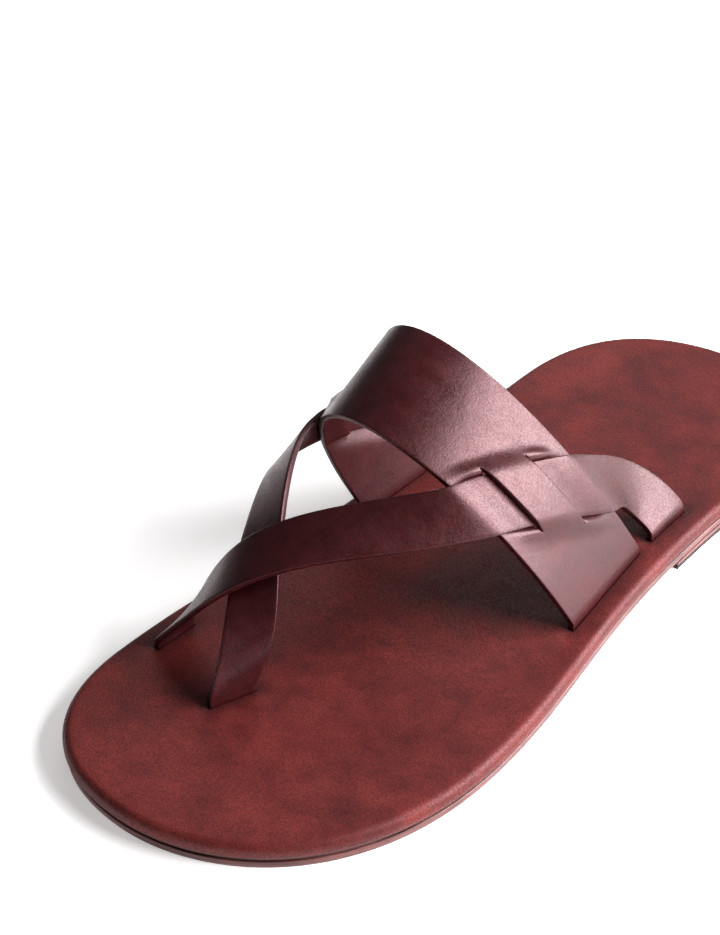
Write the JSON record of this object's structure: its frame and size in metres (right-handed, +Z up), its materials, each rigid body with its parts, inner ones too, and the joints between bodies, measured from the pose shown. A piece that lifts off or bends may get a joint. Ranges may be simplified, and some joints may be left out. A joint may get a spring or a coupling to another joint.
{
  "type": "flip flop",
  "caption": "Flat leather toe-loop slide sandal for the left foot, with a wide instep band and narrow straps woven through it that cross over the toes.",
  "frame": {"origin": "middle of the sole's outline on the ground", "axes": "+Y towards the heel, -Y towards the toes, +X towards the outer side of the left foot, +Z up"},
  "size_m": [0.1107, 0.285, 0.0827],
  "materials": {
    "footbed_leather": "satin",
    "strap_leather": "satin",
    "outsole_leather": "satin",
    "midsole_leather": "matte",
    "cork_filler": "matte",
    "board_fibre": "matte",
    "foam": "matte",
    "heel_rubber": "matte",
    "plated_steel": "satin"
  },
  "bodies": {
    "root": {"outsole": "outsole_leather", "midsole": "midsole_leather", "bottom_filler": "cork_filler", "insole_board": "board_fibre", "cushion": "foam", "footbed_cover": "footbed_leather", "instep_band": "strap_leather", "lateral_strap": "strap_leather", "medial_strap": "strap_leather", "heel_lift": "outsole_leather", "heel_top_piece": "heel_rubber", "tail_tack_1": "plated_steel", "tail_tack_2": "plated_steel", "tail_tack_3": "plated_steel", "tail_tack_4": "plated_steel", "tail_tack_5": "plated_steel", "tail_tack_6": "plated_steel", "tail_tack_7": "plated_steel", "tail_tack_8": "plated_steel", "heel_nail_1": "plated_steel", "heel_nail_2": "plated_steel", "heel_nail_3": "plated_steel", "heel_nail_4": "plated_steel", "heel_nail_5": "plated_steel"}
  },
  "joints": []
}
